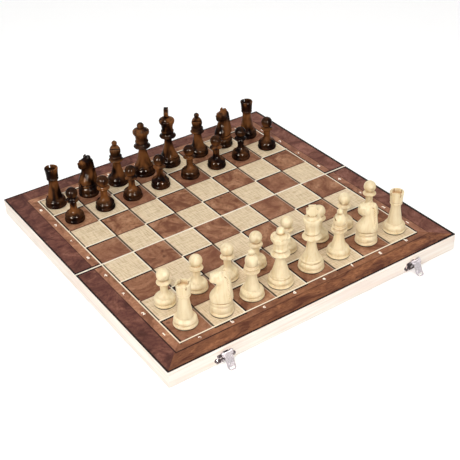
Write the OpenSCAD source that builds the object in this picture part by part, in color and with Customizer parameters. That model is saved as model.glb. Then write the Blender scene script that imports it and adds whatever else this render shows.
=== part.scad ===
// A folding wooden games box, opened flat with the chess board up and the 32 men set out.
// Millimetres. +X runs along the fold to the right, +Y from the front leaf to the back leaf, +Z up.
// The origin is on the table, under the centre of the whole part.

/* [Board] */
// Length of the board along the fold
board_w = 390; // [340:1:440]
// Depth of one leaf, from the fold to its outer edge
leaf_d = 195; // [175:1:220]
// Height of one leaf, from its rim to the playing surface
leaf_h = 20; // [19:0.5:26]
// Thickness of the playing panel
panel_t = 4; // [3:0.5:6]
// Thickness of the frame rails
rail_t = 9; // [8.5:0.25:12]
// Rounding of the outer corners
corner_r = 1.5; // [0.5:0.25:4]
// Gap between the two leaves at the fold
seam_gap = 0.4; // [0.2:0.1:0.8]

/* [Playing field] */
// Printed border to the left and right of the squares
side_border = 33.4; // [28:0.2:40]
// Printed border in front of and behind the squares
end_border = 30.5; // [26:0.5:36]

/* [Fold hinges] */
// Distance of each hinge from the end of the board
hinge_inset = 70; // [40:1:100]
// Length of a hinge
hinge_l = 30; // [24:1:40]
// Width of one hinge plate, from the fold outwards
hinge_plate_w = 7.6; // [6.5:0.1:8]
// Thickness of a hinge plate
hinge_plate_t = 0.8; // [0.6:0.1:1.2]
// Outer radius of the hinge barrel
barrel_r = 1.25; // [1.1:0.05:1.6]
// Radius of the hinge pin
hinge_pin_r = 0.6; // [0.5:0.05:0.75]
// Distance of each screw from the middle of its hinge
screw_x = 10; // [7:0.5:11]
// Radius of a screw's shank
screw_r = 0.9; // [0.7:0.05:1]
// Length of a screw
screw_l = 8; // [5:0.5:11]

/* [Clasps] */
// Distance of each clasp from the end of the board
clasp_inset = 66.5; // [40:0.5:100]
// Height of the lever's pin above the rim
lever_axis_h = 13; // [12.2:0.1:13.6]
// Distance of the lever's pin from the wall
lever_axis_out = 2.9; // [2.8:0.1:3.4]
// Reach of the lever from its pin to its tip
lever_l = 18.5; // [17.6:0.1:19.4]
// Width of the lever at its pin
lever_w = 13; // [12:0.5:15]
// Width of the lever's tongue
tongue_w = 9.6; // [9:0.1:11.5]
// Thickness of the sheet that the lever is bent from
sheet_t = 0.6; // [0.5:0.05:0.7]
// Thickness of the two plates on the walls
clasp_plate_t = 0.7; // [0.5:0.05:0.9]
// Distance between the two nails of a plate
nail_pitch = 19.4; // [18:0.2:22]
// Radius of the lever's pin
lever_pin_r = 0.6; // [0.5:0.05:0.65]
// Length of a nail in the wood
nail_l = 6; // [4:0.5:8]
// How far the lever opens beyond the place where it lies on the table
lever_open_deg = 90; // [50:5:95]

/* [Men] */
// Height of a king
king_h = 80; // [74:0.5:88]
// Height of a queen
queen_h = 72.5; // [67:0.5:80]
// Height of a bishop
bishop_h = 60; // [56:0.5:66]
// Height of a knight
knight_h = 53; // [49:0.5:58]
// Height of a rook
rook_h = 52; // [48:0.5:57]
// Height of a pawn
pawn_h = 44.5; // [41:0.5:49]
// Width of a king's foot
king_d = 29.4; // [26:0.2:32]
// Width of a queen's foot
queen_d = 28.8; // [26:0.2:32]
// Width of a bishop's foot
bishop_d = 27; // [24:0.2:30]
// Width of a knight's foot
knight_d = 25.8; // [23:0.2:29]
// Width of a rook's foot
rook_d = 26.4; // [23:0.2:29]
// Width of a pawn's foot
pawn_d = 24.4; // [22:0.2:27]
// Width of the ball on a pawn
pawn_ball_d = 14.4; // [12.8:0.2:15.4]
// Width of the ball on a queen
queen_ball_d = 9; // [7.8:0.2:9.8]
// Width of the button on a bishop
bishop_ball_d = 6.8; // [6:0.2:7.6]
// Width of the cross on a king
cross_w = 13; // [11:0.5:15]
// Thickness of the cross on a king
cross_t = 5.6; // [4:0.2:6.4]

/* [Hidden] */
$fn = 64;

maple = "#efe6d6";
printed = "#8a5a3c";
nickel = "#c9c9cd";
espresso = "#3a1c14";
boxwood = "#f1dfae";

hinge_x = board_w / 2 - hinge_inset;
clasp_x = board_w / 2 - clasp_inset;
files = 8;                      // squares in a row
square_x = (board_w - 2 * side_border) / files;
square_y = 2 * (leaf_d - end_border) / files;

barrel_gap = 0.3;               // round a barrel, to the wood and to the other plate
running_gap = 0.05;             // round a pin or a screw
press_gap = 0.02;               // round a pin where it is held
shut_gap = 0.1;                 // between the two rims when the box is shut
axis_z = barrel_r;              // the fold turns about this height, on its barrels
rim_z = axis_z + shut_gap / 2;
rail_h = leaf_h - panel_t;
top_z = rim_z + leaf_h;
seat = 0.05;                    // depth that a hinge plate is sunk below the rim

// Clasp: u runs out from the wall and v up, both from the lever's pin.
knuckle_r = 1.2;
knuckle_w = 7;
bend_r = 2;                     // middle of the sheet, where it goes round the pin
bend_start_deg = 80;
tip_out = 0.9;
table_gap = 0.25;
cheek_t = 0.8;
cheek_gap = 0.4;
window_w = 5.8;
window_h = 2.4;
hook_w = 4.4;
hook_h = 1.4;
hook_out = 3.5;                 // from the wall to the end of the hook
plate_low = 1;                  // lower edge of a clasp plate above the rim
plate_high = 11.4;
plate_w = 19;
ear_r = 3.1;
nail_head_r = 1.3;
nail_r = 0.6;
nail_z = 5.4;
tip_angle = atan2(tip_out, lever_l);
tip_reach = norm([tip_out, lever_l]);
tip_drop = rim_z + lever_axis_h - table_gap - sheet_t / 2;
lever_rest_deg = acos(tip_drop / tip_reach) - tip_angle;
window_at = lever_l - 2.5;      // from the pin to the middle of the window
lever_path = [
    each [for (a = [bend_start_deg:-20:0]) bend_r * [cos(a), sin(a)]],
    [1.6, -5], [-0.6, 4.4 - lever_l], [tip_out, -lever_l]];

// The part's footprint runs from the tips of the levers to the hooks of the catches.
front_reach = leaf_d + lever_axis_out + tip_reach * sin(lever_rest_deg + tip_angle)
    + sheet_t / 2 * cos(lever_rest_deg + lip_angle());
back_reach = leaf_d + hook_out;
seam_y = (front_reach - back_reach) / 2;

// Turns of the men about their own axes, degrees from +X.
white_knight_deg = 150;
dark_knight_deg = 207;
white_cross_deg = -34;
dark_cross_deg = 56;
white_slit_left_deg = 60;
white_slit_right_deg = 120;
dark_slit_deg = 240;
rook_slot_deg = 80;

// Where each man stands, measured from the middle of its square, from left to right.
white_first = [[0.5, 1.5], [1, -4.5], [1.5, -2], [-1.5, -2.5], [2.5, 0], [2, 1], [3, 1], [4, -1]];
white_second = [[1, 1.5], [1.5, 2], [-1, -1.5], [-3.5, -1.5], [1, 1.5], [3.5, -3], [2.5, -0.5], [3.5, 2]];
dark_second = [[-2, -2], [0, -0.5], [-1.5, 0], [-0.5, 1.5], [2, -1], [2.5, -1], [0.5, -1.5], [3.5, -0.5]];
dark_first = [[-5, 1.5], [-1, 0], [1, 0.5], [-0.5, 1], [-2.5, 1], [1.5, 0], [1, 0], [1, 0.5]];

// ---------------------------------------------------------------- outlines of the turned men

// A stretch of an outline from a to b, that swells outwards by "out", or inwards if it is negative.
function swell(a, b, out, steps = 6) =
    let (d = b - a, c = (a + b) / 2 + 2 * out * [d[1], -d[0]] / norm(d))
    [for (i = [1:steps]) let (t = i / steps) (1 - t) * (1 - t) * a + 2 * t * (1 - t) * c + t * t * b];

// Knots are [radius, height, swell of the stretch that ends there].
function spot(k) = [k[0], k[1]];
function outline(knots) = [
    for (i = [0:len(knots) - 1])
        each (i == 0 || knots[i][2] == 0) ? [spot(knots[i])]
            : swell(spot(knots[i - 1]), spot(knots[i]), knots[i][2])];

// The outline fitted to a foot of width d and to a top at height h.
function fitted(knots, d, h) =
    let (points = outline(knots), r = max([for (p = points) p[0]]), top = max([for (p = points) p[1]]))
    [for (p = points) [p[0] * d / 2 / r, p[1] * h / top]];

// Foot that all the men share, for a radius r.
function foot(r) = [
    [0, 0, 0], [r - 0.8, 0, 0], [r, 0.8, 0.2], [r, 3.1, 0.2], [r - 0.8, 4, 0.2],
    [r - 1.1, 4.3, 0], [r - 1.1, 4.7, 0], [r - 2.1, 10, 1], [r - 3.1, 10.8, 0.2]];

pawn_knots = [
    each foot(12.2), [7.7, 11.4, 0], [4.3, 21, -1.5], [4.4, 25, -0.1], [5.6, 26.3, -0.2], [7.8, 27.6, 0.1],
    [7.8, 28.7, 0.2], [5.4, 30.6, -0.3], [4.2, 31.6, 0], [4.2, 33, 0], [0, 33, 0]];
pawn_neck_h = 33;
rook_knots = [
    each foot(13.2), [9, 11.4, 0], [5.8, 31, -0.2], [5.9, 35, -0.1], [7, 36.6, 0], [7.1, 38.4, 0.3],
    [6.5, 39.2, 0], [7.4, 40.6, -0.1], [8.2, 50.5, -0.2], [8.1, 52, 0.2], [6.1, 52, 0], [5.8, 47.6, 0],
    [0, 47, 0]];
bishop_knots = [
    each foot(13.5), [9.2, 11.5, 0], [5.4, 26.5, -0.5], [5.3, 30.4, -0.1], [6.6, 31.8, -0.1], [9, 33, 0.1],
    [9, 34.2, 0.2], [6.2, 36.2, -0.3], [6.1, 36.8, 0], [7.9, 37.8, 0.1], [7.9, 38.8, 0.2],
    [5.4, 40.3, -0.3], [7.1, 46.4, 0.5], [5.4, 51.2, 0.4], [2.3, 54, 0.3], [1.9, 55, 0], [0, 55, 0]];
bishop_head_h = 55;
queen_knots = [
    each foot(14.4), [11.6, 11.9, 0.2], [11.3, 13, 0.2], [10.4, 13.6, 0], [5.2, 32.5, -0.3], [5.1, 35.4, -0.1],
    [6.2, 37.2, -0.2], [10.6, 39, 0.1], [10.6, 40.2, 0.3], [7.6, 43, -0.4], [6.5, 44.2, 0],
    [8.4, 45.4, 0.2], [8.4, 47.2, 0.2], [7.6, 48.2, 0], [7.8, 51.6, -0.1], [10, 57, -0.5],
    [10.6, 58.6, 0.2], [10.6, 60.4, 0.1], [10, 61.8, 0.2], [8, 62, 0], [3.8, 65, 0.7], [2.8, 65.4, 0],
    [2.7, 66, 0], [0, 66, 0]];
queen_dome_h = 66;
king_knots = [
    each foot(14.7), [12, 12, 0.2], [11.7, 13.2, 0.2], [10.7, 13.8, 0], [5, 33.5, -0.9], [5, 37, -0.1],
    [6.2, 38.8, -0.2], [10.6, 40.8, 0.1], [10.6, 42.2, 0.3], [7.8, 45, -0.4], [6.6, 46, 0],
    [8.2, 47.4, 0.2], [8.2, 49.2, 0.2], [7.3, 50.2, 0], [7.4, 54, -0.1], [9.5, 60, -0.5],
    [9.9, 61.8, 0.2], [9.9, 64.2, 0.3], [9, 65.2, 0.1], [7.3, 65.2, 0], [3, 68.2, 0.7], [2.6, 68.6, 0],
    [0, 68.6, 0]];
king_dome_h = 68.6;
knight_knots = [
    [0, 0, 0], [12.1, 0, 0], [12.9, 0.8, 0.2], [12.9, 3.2, 0.2], [12.1, 4.1, 0.2], [11.9, 4.5, 0],
    [11.3, 11.3, 1.1], [10.6, 12.1, 0], [11.3, 13.1, 0.2], [11.3, 15.3, 0.4], [10.6, 16.2, 0.2],
    [0, 16.2, 0]];
knight_foot_h = 16.2;

// The knight above its foot is two solids through rings, with its nose towards +X.
// Each ring: middle x, middle z, lean of its depth from +X in degrees, half depth, half width.
neck_rings = [
    [-0.3, 15.8, 0, 10.7, 10.2], [-0.2, 17.2, 0, 12.1, 10.3], [-0.1, 19, 0, 12.7, 10],
    [-0.4, 22, 0, 12.4, 9.3], [-1.2, 25.4, 0, 11.2, 8.5], [-2, 28.4, -3, 9.9, 7.8],
    [-2.9, 31.4, -7, 8.7, 7.2], [-3.2, 34.8, -11, 8.1, 6.8], [-3, 38.8, -15, 8, 6.4],
    [-2.8, 43, -17, 7.5, 6], [-2.7, 46.8, -15, 6.4, 5.3], [-2.2, 49.2, -12, 4.6, 4.2],
    [-2, 50.8, -12, 2.6, 2.6]];
head_rings = [
    [-3, 43, -90, 5.5, 4.5], [0.5, 43.2, -88, 7.5, 5.8], [3.6, 43.8, -86, 6.9, 5.4],
    [6.6, 44.4, -82, 5.9, 4.8], [9, 44.3, -80, 5.4, 4.3], [10.3, 44.2, -80, 4.6, 3.8],
    [10.9, 44.2, -80, 3.2, 2.8]];
knight_nominal = [25.8, 53];
ring_points = 20;
mane_locks = 7;

// ---------------------------------------------------------------- the two leaves

// Puts a leaf that is drawn with its rim on z = 0 and its fold on y = 0 into place.
module leaf(side) {
    translate([0, seam_y, rim_z]) mirror([0, side == "front" ? 1 : 0, 0]) children();
}

module leaf_outline() {
    y0 = seam_gap / 2;
    translate([-board_w / 2, y0]) square([board_w, leaf_d - y0 - corner_r]);
    translate([-board_w / 2 + corner_r, y0]) square([board_w - 2 * corner_r, leaf_d - y0]);
    for (sx = [-1, 1]) translate([sx * (board_w / 2 - corner_r), leaf_d - corner_r]) circle(corner_r);
}

module panel() {
    translate([0, 0, rail_h]) linear_extrude(panel_t) leaf_outline();
}

module rail(points) {
    linear_extrude(rail_h) intersection() {
        leaf_outline();
        polygon(points);
    }
}

module outer_rail() {
    difference() {
        rail([
            [-board_w / 2, leaf_d], [board_w / 2, leaf_d],
            [board_w / 2 - rail_t, leaf_d - rail_t], [-board_w / 2 + rail_t, leaf_d - rail_t]]);
        each_nail() cylinder(h = nail_l + running_gap, r = nail_r + running_gap);
    }
}

module seam_rail() {
    y0 = seam_gap / 2;
    difference() {
        rail([
            [-board_w / 2, y0], [-board_w / 2 + rail_t, y0 + rail_t],
            [board_w / 2 - rail_t, y0 + rail_t], [board_w / 2, y0]]);
        for (sx = [-1, 1]) translate([sx * hinge_x, 0, 0]) {
            translate([0, 0, axis_z - rim_z])
                along_x(hinge_l + 2 * barrel_gap) circle(barrel_r + barrel_gap);
            translate([-hinge_l / 2 - running_gap, 0, -1])
                cube([hinge_l + 2 * running_gap, hinge_plate_w + running_gap, 1 + seat + hinge_plate_t]);
        }
        each_screw() cylinder(h = screw_l + running_gap, r = screw_r + running_gap);
    }
}

module side_rail(sx) {
    mirror([sx > 0 ? 1 : 0, 0, 0]) rail([
        [-board_w / 2, seam_gap / 2], [-board_w / 2, leaf_d],
        [-board_w / 2 + rail_t, leaf_d - rail_t], [-board_w / 2 + rail_t, seam_gap / 2 + rail_t]]);
}

// Extrudes a flat shape of the Y-Z plane along X, centred on x = 0.
module along_x(length) {
    rotate([90, 0, 90]) translate([0, 0, -length / 2]) linear_extrude(length) children();
}

module back_panel() { color(printed) leaf("back") panel(); }
module back_outer_rail() { color(maple) leaf("back") outer_rail(); }
module back_seam_rail() { color(maple) leaf("back") seam_rail(); }
module back_left_rail() { color(maple) leaf("back") side_rail(-1); }
module back_right_rail() { color(maple) leaf("back") side_rail(1); }
module front_panel() { color(printed) leaf("front") panel(); }
module front_outer_rail() { color(maple) leaf("front") outer_rail(); }
module front_seam_rail() { color(maple) leaf("front") seam_rail(); }
module front_left_rail() { color(maple) leaf("front") side_rail(-1); }
module front_right_rail() { color(maple) leaf("front") side_rail(1); }

// ---------------------------------------------------------------- fold hinges

screw_y = (barrel_r + barrel_gap + hinge_plate_w) / 2;
screw_head_r = 2 * screw_r;

module each_screw() {
    for (sx = [-1, 1], dx = [-1, 1]) translate([sx * hinge_x + dx * screw_x, screw_y, seat]) children();
}

// The countersunk screw, its head down, grown by a clearance for the holes.
module screw(grow = 0) {
    cylinder(h = screw_l, r = screw_r + grow);
    cylinder(h = hinge_plate_t, r1 = screw_head_r + grow, r2 = screw_r + grow);
}

// The three knuckles share the length. The outer two are on the back plate.
knuckle_l = hinge_l / 3;

module knuckle_span(side) {
    if (side == "front") translate([-knuckle_l / 2 + running_gap, 0, 0]) children();
    else for (x = [-hinge_l / 2, knuckle_l / 2]) translate([x, 0, 0]) children();
}

module hinge_plate(sx, side) {
    span = knuckle_l - (side == "front" ? 2 * running_gap : 0);
    inner = barrel_r + barrel_gap;
    translate([sx * hinge_x, 0, 0]) difference() {
        union() {
            translate([-hinge_l / 2, inner, seat]) cube([hinge_l, hinge_plate_w - inner, hinge_plate_t]);
            knuckle_span(side) {
                translate([0, 0, seat]) cube([span, inner, hinge_plate_t]);
                translate([0, 0, axis_z - rim_z]) rotate([0, 90, 0]) cylinder(h = span, r = barrel_r);
            }
        }
        translate([0, 0, axis_z - rim_z])
            along_x(hinge_l + 1) circle(hinge_pin_r + (side == "front" ? running_gap : press_gap));
        for (dx = [-1, 1]) translate([dx * screw_x, screw_y, seat]) screw(running_gap);
    }
}

module hinge_pin(sx) {
    color(nickel) translate([sx * hinge_x, seam_y, axis_z]) along_x(hinge_l) circle(hinge_pin_r);
}

module left_hinge_back_plate() { color(nickel) leaf("back") hinge_plate(-1, "back"); }
module left_hinge_front_plate() { color(nickel) leaf("front") hinge_plate(-1, "front"); }
module left_hinge_pin() { hinge_pin(-1); }
module right_hinge_back_plate() { color(nickel) leaf("back") hinge_plate(1, "back"); }
module right_hinge_front_plate() { color(nickel) leaf("front") hinge_plate(1, "front"); }
module right_hinge_pin() { hinge_pin(1); }
module hinge_screws_back() { color(nickel) leaf("back") each_screw() screw(); }
module hinge_screws_front() { color(nickel) leaf("front") each_screw() screw(); }

// ---------------------------------------------------------------- clasps

// Nail holes run into the outer wall, from its face inwards.
module each_nail() {
    for (sx = [-1, 1], dx = [-1, 1])
        translate([sx * clasp_x + dx * nail_pitch / 2, leaf_d, nail_z]) rotate([90, 0, 0]) children();
}

module nails() {
    each_nail() {
        translate([0, 0, -clasp_plate_t]) cylinder(h = nail_l + clasp_plate_t, r = nail_r);
        translate([0, 0, -clasp_plate_t - 0.7]) cylinder(h = 0.7, r1 = nail_head_r / 2, r2 = nail_head_r);
    }
}

// The plate that both halves of a clasp share: a rectangle with a round ear at each side.
module ear_plate(low, high) {
    translate([0, leaf_d, 0]) difference() {
        translate([0, clasp_plate_t, 0]) rotate([90, 0, 0]) linear_extrude(clasp_plate_t) {
            translate([-plate_w / 2, low]) square([plate_w, high - low]);
            for (dx = [-1, 1]) translate([dx * nail_pitch / 2, nail_z]) circle(ear_r);
        }
        for (dx = [-1, 1]) translate([dx * nail_pitch / 2, -1, nail_z]) rotate([-90, 0, 0])
            cylinder(h = 2 + clasp_plate_t, r = nail_r + running_gap);
    }
}

module clasp_plate(sx) {
    color(nickel) leaf("front") translate([sx * clasp_x, 0, 0]) difference() {
        union() {
            ear_plate(plate_low, plate_high);
            translate([-knuckle_w / 2, leaf_d, plate_high]) cube([knuckle_w, clasp_plate_t, 2]);
            translate([-knuckle_w / 2, leaf_d, lever_axis_h - 0.9]) cube([knuckle_w, lever_axis_out, 1]);
            translate([0, leaf_d + lever_axis_out, lever_axis_h]) along_x(knuckle_w) circle(knuckle_r);
        }
        translate([0, leaf_d + lever_axis_out, lever_axis_h])
            along_x(knuckle_w + 2) circle(lever_pin_r + running_gap);
    }
}

module clasp_catch(sx) {
    hook_z = window_at - lever_axis_h - shut_gap;
    color(nickel) leaf("back") translate([sx * clasp_x, 0, 0]) {
        ear_plate(plate_low - 0.2, plate_high - 2);
        translate([-hook_w / 2, leaf_d, hook_z - hook_h / 2]) cube([hook_w, hook_out, hook_h]);
    }
}

// Direction of the sheet at the lever's tip, from straight down.
function lip_angle() =
    let (d = lever_path[len(lever_path) - 1] - lever_path[len(lever_path) - 2]) atan2(d[0], -d[1]);

// A strip of the sheet's thickness along a path.
function normal_at(path, i) =
    let (a = path[max(i - 1, 0)], b = path[min(i + 1, len(path) - 1)], d = (b - a) / norm(b - a)) [-d[1], d[0]];
function strip(path, t) = [
    for (i = [0:len(path) - 1]) path[i] + normal_at(path, i) * t / 2,
    for (i = [len(path) - 1:-1:0]) path[i] - normal_at(path, i) * t / 2];

// Puts something that is drawn round the lever's pin, hanging shut, where the lever rests.
module at_lever(sx) {
    leaf("front") translate([sx * clasp_x, leaf_d + lever_axis_out, lever_axis_h])
        rotate([lever_rest_deg, 0, 0]) children();
}

module clasp_lever(sx) {
    shoulder = -3;              // where the wide part ends, measured from the pin
    inside = knuckle_w / 2 + cheek_gap;
    color(nickel) at_lever(sx) difference() {
        union() {
            intersection() {
                along_x(lever_w) polygon(strip(lever_path, sheet_t));
                union() {
                    translate([-lever_w / 2, -5, shoulder]) cube([lever_w, 10, 10]);
                    translate([-tongue_w / 2, -5, tongue_w / 2 - lever_l])
                        cube([tongue_w, 10, lever_l - tongue_w / 2]);
                    translate([0, 5, tongue_w / 2 - lever_l - sheet_t])
                        rotate([90, 0, 0]) cylinder(h = 10, r = tongue_w / 2);
                }
            }
            for (dx = [-1, 1]) translate([dx * (inside + cheek_t / 2), 0, 0])
                along_x(cheek_t) circle(bend_r - sheet_t / 4);
        }
        translate([-inside, -5, 0.9]) cube([2 * inside, 10, 10]);
        translate([-window_w / 2, -5, -window_at - window_h / 2]) cube([window_w, 10, window_h]);
        along_x(lever_w + 2) circle(lever_pin_r + press_gap);
    }
}

module clasp_pin(sx) {
    color(nickel) at_lever(sx) along_x(knuckle_w + 2 * cheek_gap + 2 * cheek_t) circle(lever_pin_r);
}

module left_clasp_plate() { clasp_plate(-1); }
module left_clasp_lever() { clasp_lever(-1); }
module left_clasp_pin() { clasp_pin(-1); }
module left_clasp_catch() { clasp_catch(-1); }
module right_clasp_plate() { clasp_plate(1); }
module right_clasp_lever() { clasp_lever(1); }
module right_clasp_pin() { clasp_pin(1); }
module right_clasp_catch() { clasp_catch(1); }
module clasp_nails_front() { color(nickel) leaf("front") nails(); }
module clasp_nails_back() { color(nickel) leaf("back") nails(); }

// ---------------------------------------------------------------- the men

module turned(knots, d, h) {
    rotate_extrude() polygon(fitted(knots, d, h));
}

module pawn() {
    turned(pawn_knots, pawn_d, pawn_neck_h * pawn_h / 44.5);
    translate([0, 0, pawn_h - pawn_ball_d / 2]) sphere(pawn_ball_d / 2);
}

module rook() {
    slot_w = 1.3;
    slot_h = 4;
    difference() {
        turned(rook_knots, rook_d, rook_h);
        for (turn = [0, 90]) rotate(rook_slot_deg + turn)
            translate([-rook_d, -slot_w / 2, rook_h - slot_h]) cube([2 * rook_d, slot_w, slot_h + 1]);
    }
}

module bishop(slit_deg) {
    slit_w = 1.3;
    neck_h = bishop_head_h * bishop_h / 60;
    difference() {
        union() {
            turned(bishop_knots, bishop_d, neck_h);
            translate([0, 0, bishop_h - bishop_ball_d / 2]) sphere(bishop_ball_d / 2);
        }
        rotate(slit_deg) translate([2.2, 0, neck_h - 7.5]) rotate([0, -38, 0])
            translate([0, -bishop_d / 2, 0]) cube([bishop_d, bishop_d, slit_w]);
    }
}

module queen() {
    points = 9;                 // dips round the coronet
    rim_h = 62.4 * queen_h / 72.5;
    difference() {
        turned(queen_knots, queen_d, queen_dome_h * queen_h / 72.5);
        for (i = [0:points - 1]) rotate(i * 360 / points)
            translate([0.35 * queen_d, 0, rim_h]) sphere(1.5);
    }
    translate([0, 0, queen_h - queen_ball_d / 2]) sphere(queen_ball_d / 2);
}

// A cross with flared arms: a plate with a round bite at each corner.
module cross(width, height, thickness) {
    bite = 0.3 * width;
    rotate([90, 0, 0]) translate([0, 0, -thickness / 2]) linear_extrude(thickness) difference() {
        translate([-width / 2, 0]) square([width, height]);
        for (sx = [-1, 1], z = [0.17 * height, 0.9 * height])
            translate([sx * 0.47 * width, z]) circle(bite * 0.62);
        for (sx = [-1, 1]) translate([sx * 0.5 * width, 0]) circle(bite);
    }
}

module king(cross_deg) {
    dome_h = king_dome_h * king_h / 80;
    turned(king_knots, king_d, dome_h);
    rotate(cross_deg) translate([0, 0, dome_h - 1.4]) cross(cross_w, king_h - dome_h + 1.4, cross_t);
}

// A solid through rings that are flat at both sides and rounder in front and behind, stretched by k.
function ring_spot(ring, i, k) =
    let (t = 360 * i / ring_points, c = cos(t), s = sin(t),
         depth = ring[3] * sign(c) * pow(abs(c), 0.9), width = ring[4] * sign(s) * pow(abs(s), 0.7))
    [k[0] * (ring[0] + depth * cos(ring[2])), k[0] * width, k[1] * (ring[1] + depth * sin(ring[2]))];

module through_rings(rings, k) {
    n = ring_points;
    last = (len(rings) - 1) * n;
    polyhedron(
        points = [for (ring = rings, i = [0:n - 1]) ring_spot(ring, i, k)],
        faces = [
            [for (i = [0:n - 1]) i],
            for (row = [0:len(rings) - 2], i = [0:n - 1])
                each let (a = row * n + i, b = row * n + (i + 1) % n) [[a, a + n, b], [b, a + n, b + n]],
            [for (i = [n - 1:-1:0]) last + i]]);
}

// The foot is turned; the ears, the locks of the mane and the cut of the mouth go on the rings' solids.
module knight(face_deg) {
    k = [knight_d / knight_nominal[0], knight_h / knight_nominal[1]];
    turned(knight_knots, knight_d, knight_foot_h * k[1]);
    rotate(face_deg) difference() {
        union() {
            through_rings(neck_rings, k);
            through_rings(head_rings, k);
            for (i = [0:mane_locks - 1]) let (t = i / (mane_locks - 1))
                translate([k[0] * (-7.2 - 3 * t), 0, k[1] * (48.2 - 27 * t)])
                    rotate([90, 0, 0])
                        cylinder(h = k[0] * (5.4 + 4.6 * t), r = 2.5 * k[0], center = true, $fn = 24);
            for (sy = [-1, 1]) translate([-3.8 * k[0], sy * 2.5 * k[0], 47 * k[1]])
                cylinder(h = 6 * k[1], r1 = 2.3 * k[0], r2 = 0.8 * k[0], $fn = 24);
        }
        translate([8 * k[0], -knight_d / 2, 41 * k[1]]) rotate([0, 14, 0]) cube([8, knight_d, 0.8]);
    }
}

// Stands a man on its square, a little off the middle as it was set down.
module on_square(file, rank, off) {
    x = (file - (files - 1) / 2) * square_x;
    y = (rank - (files - 1) / 2) * square_y;
    translate([x + off[0], seam_y + y + off[1], top_z]) children();
}

module white_piece(file) { color(boxwood) on_square(file, 0, white_first[file]) children(); }
module white_pawn(file) { color(boxwood) on_square(file, 1, white_second[file]) pawn(); }
module dark_pawn(file) { color(espresso) on_square(file, 6, dark_second[file]) pawn(); }
module dark_piece(file) { color(espresso) on_square(file, 7, dark_first[file]) children(); }

module dark_rook_left() { dark_piece(0) rook(); }
module dark_knight_left() { dark_piece(1) knight(dark_knight_deg); }
module dark_bishop_left() { dark_piece(2) bishop(dark_slit_deg); }
module dark_queen() { dark_piece(3) queen(); }
module dark_king() { dark_piece(4) king(dark_cross_deg); }
module dark_bishop_right() { dark_piece(5) bishop(dark_slit_deg); }
module dark_knight_right() { dark_piece(6) knight(dark_knight_deg); }
module dark_rook_right() { dark_piece(7) rook(); }
module dark_pawn_1() { dark_pawn(0); }
module dark_pawn_2() { dark_pawn(1); }
module dark_pawn_3() { dark_pawn(2); }
module dark_pawn_4() { dark_pawn(3); }
module dark_pawn_5() { dark_pawn(4); }
module dark_pawn_6() { dark_pawn(5); }
module dark_pawn_7() { dark_pawn(6); }
module dark_pawn_8() { dark_pawn(7); }
module white_rook_left() { white_piece(0) rook(); }
module white_knight_left() { white_piece(1) knight(white_knight_deg); }
module white_bishop_left() { white_piece(2) bishop(white_slit_left_deg); }
module white_queen() { white_piece(3) queen(); }
module white_king() { white_piece(4) king(white_cross_deg); }
module white_bishop_right() { white_piece(5) bishop(white_slit_right_deg); }
module white_knight_right() { white_piece(6) knight(white_knight_deg); }
module white_rook_right() { white_piece(7) rook(); }
module white_pawn_1() { white_pawn(0); }
module white_pawn_2() { white_pawn(1); }
module white_pawn_3() { white_pawn(2); }
module white_pawn_4() { white_pawn(3); }
module white_pawn_5() { white_pawn(4); }
module white_pawn_6() { white_pawn(5); }
module white_pawn_7() { white_pawn(6); }
module white_pawn_8() { white_pawn(7); }

// ---------------------------------------------------------------- one line for each node

back_panel();
back_outer_rail();
back_seam_rail();
back_left_rail();
back_right_rail();
front_panel();
front_outer_rail();
front_seam_rail();
front_left_rail();
front_right_rail();
left_hinge_back_plate();
left_hinge_front_plate();
left_hinge_pin();
right_hinge_back_plate();
right_hinge_front_plate();
right_hinge_pin();
hinge_screws_back();
hinge_screws_front();
left_clasp_plate();
left_clasp_lever();
left_clasp_pin();
left_clasp_catch();
right_clasp_plate();
right_clasp_lever();
right_clasp_pin();
right_clasp_catch();
clasp_nails_front();
clasp_nails_back();
dark_rook_left();
dark_knight_left();
dark_bishop_left();
dark_queen();
dark_king();
dark_bishop_right();
dark_knight_right();
dark_rook_right();
dark_pawn_1();
dark_pawn_2();
dark_pawn_3();
dark_pawn_4();
dark_pawn_5();
dark_pawn_6();
dark_pawn_7();
dark_pawn_8();
white_rook_left();
white_knight_left();
white_bishop_left();
white_queen();
white_king();
white_bishop_right();
white_knight_right();
white_rook_right();
white_pawn_1();
white_pawn_2();
white_pawn_3();
white_pawn_4();
white_pawn_5();
white_pawn_6();
white_pawn_7();
white_pawn_8();
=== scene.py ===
"""A folding games box, opened flat as a chess board, with its men set out."""
import math

import bpy
from mathutils import Euler, Matrix, Vector

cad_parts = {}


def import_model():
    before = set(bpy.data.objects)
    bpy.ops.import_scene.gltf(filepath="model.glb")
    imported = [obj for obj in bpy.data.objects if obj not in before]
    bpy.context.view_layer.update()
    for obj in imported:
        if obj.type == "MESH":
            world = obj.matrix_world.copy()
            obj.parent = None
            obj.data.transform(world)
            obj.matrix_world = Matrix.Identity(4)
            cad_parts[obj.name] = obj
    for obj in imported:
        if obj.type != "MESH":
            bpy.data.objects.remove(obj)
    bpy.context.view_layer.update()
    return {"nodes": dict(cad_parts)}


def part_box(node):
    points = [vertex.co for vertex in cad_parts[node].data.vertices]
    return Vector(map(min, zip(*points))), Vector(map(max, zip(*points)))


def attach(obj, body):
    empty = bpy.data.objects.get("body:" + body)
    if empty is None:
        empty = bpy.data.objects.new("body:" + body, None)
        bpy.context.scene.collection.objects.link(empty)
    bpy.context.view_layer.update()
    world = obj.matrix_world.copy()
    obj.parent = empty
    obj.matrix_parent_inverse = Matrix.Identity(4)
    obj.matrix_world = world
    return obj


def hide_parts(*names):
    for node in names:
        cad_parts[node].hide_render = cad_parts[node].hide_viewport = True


MM = 0.001
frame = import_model()
NODES = frame["nodes"]

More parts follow.
